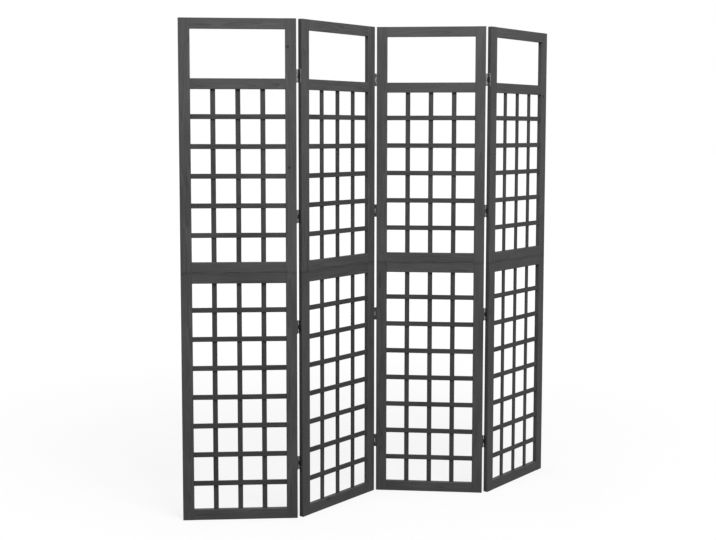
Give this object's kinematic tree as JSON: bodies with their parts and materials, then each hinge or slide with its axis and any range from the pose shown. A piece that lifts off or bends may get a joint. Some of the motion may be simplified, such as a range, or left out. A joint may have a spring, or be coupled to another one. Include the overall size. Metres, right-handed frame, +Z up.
{
  "type": "folding screen",
  "caption": "Free-standing folding screen of hinged black wooden panels, each two stacked frames with an open top window over a lattice of thin crossing laths.",
  "frame": {"origin": "on the floor, at the middle of the screen's footprint as it stands partly folded", "axes": "+Z up; +X to the right along the screen; +Y away from the side that the picture shows"},
  "size_m": [1.3988, 0.662, 1.8],
  "materials": {
    "black_stained_wood": "black stain, satin, the grain showing faintly",
    "hinge_steel": "blackened steel, worn bright at the knuckles"
  },
  "bodies": {
    "panel_1": {"panel_1_bottom_rail": "black_stained_wood", "panel_1_cross_laths": "black_stained_wood", "panel_1_hinge_pins": "hinge_steel", "panel_1_joining_tenons": "black_stained_wood", "panel_1_lower_left_stile": "black_stained_wood", "panel_1_lower_right_stile": "black_stained_wood", "panel_1_meeting_rails": "black_stained_wood", "panel_1_right_hinge_leaves": "hinge_steel", "panel_1_top_rail": "black_stained_wood", "panel_1_transom_rail": "black_stained_wood", "panel_1_upper_left_stile": "black_stained_wood", "panel_1_upper_right_stile": "black_stained_wood", "panel_1_upright_laths": "black_stained_wood"},
    "panel_2": {"panel_2_bottom_rail": "black_stained_wood", "panel_2_cross_laths": "black_stained_wood", "panel_2_hinge_pins": "hinge_steel", "panel_2_joining_tenons": "black_stained_wood", "panel_2_left_hinge_leaves": "hinge_steel", "panel_2_lower_left_stile": "black_stained_wood", "panel_2_lower_right_stile": "black_stained_wood", "panel_2_meeting_rails": "black_stained_wood", "panel_2_right_hinge_leaves": "hinge_steel", "panel_2_top_rail": "black_stained_wood", "panel_2_transom_rail": "black_stained_wood", "panel_2_upper_left_stile": "black_stained_wood", "panel_2_upper_right_stile": "black_stained_wood", "panel_2_upright_laths": "black_stained_wood"},
    "panel_3": {"panel_3_bottom_rail": "black_stained_wood", "panel_3_cross_laths": "black_stained_wood", "panel_3_hinge_pins": "hinge_steel", "panel_3_joining_tenons": "black_stained_wood", "panel_3_left_hinge_leaves": "hinge_steel", "panel_3_lower_left_stile": "black_stained_wood", "panel_3_lower_right_stile": "black_stained_wood", "panel_3_meeting_rails": "black_stained_wood", "panel_3_right_hinge_leaves": "hinge_steel", "panel_3_top_rail": "black_stained_wood", "panel_3_transom_rail": "black_stained_wood", "panel_3_upper_left_stile": "black_stained_wood", "panel_3_upper_right_stile": "black_stained_wood", "panel_3_upright_laths": "black_stained_wood"},
    "panel_4": {"panel_4_bottom_rail": "black_stained_wood", "panel_4_cross_laths": "black_stained_wood", "panel_4_joining_tenons": "black_stained_wood", "panel_4_left_hinge_leaves": "hinge_steel", "panel_4_lower_left_stile": "black_stained_wood", "panel_4_lower_right_stile": "black_stained_wood", "panel_4_meeting_rails": "black_stained_wood", "panel_4_top_rail": "black_stained_wood", "panel_4_transom_rail": "black_stained_wood", "panel_4_upper_left_stile": "black_stained_wood", "panel_4_upper_right_stile": "black_stained_wood", "panel_4_upright_laths": "black_stained_wood"}
  },
  "joints": [
    {"name": "fold_1_2", "type": "hinge", "parent": "panel_1", "child": "panel_2", "pos_m": [-0.28452, -0.28135, 0.9], "axis": [0, 0, 1], "range_deg": [-46.5, 133.5]},
    {"name": "fold_2_3", "type": "hinge", "parent": "panel_2", "child": "panel_3", "pos_m": [0.00145, 0.0251, 0.9], "axis": [0, 0, 1], "range_deg": [-124.3, 55.7]},
    {"name": "fold_3_4", "type": "hinge", "parent": "panel_3", "child": "panel_4", "pos_m": [0.42037, 0.01135, 0.9], "axis": [0, 0, 1], "range_deg": [-56.1, 123.9]}
  ]
}
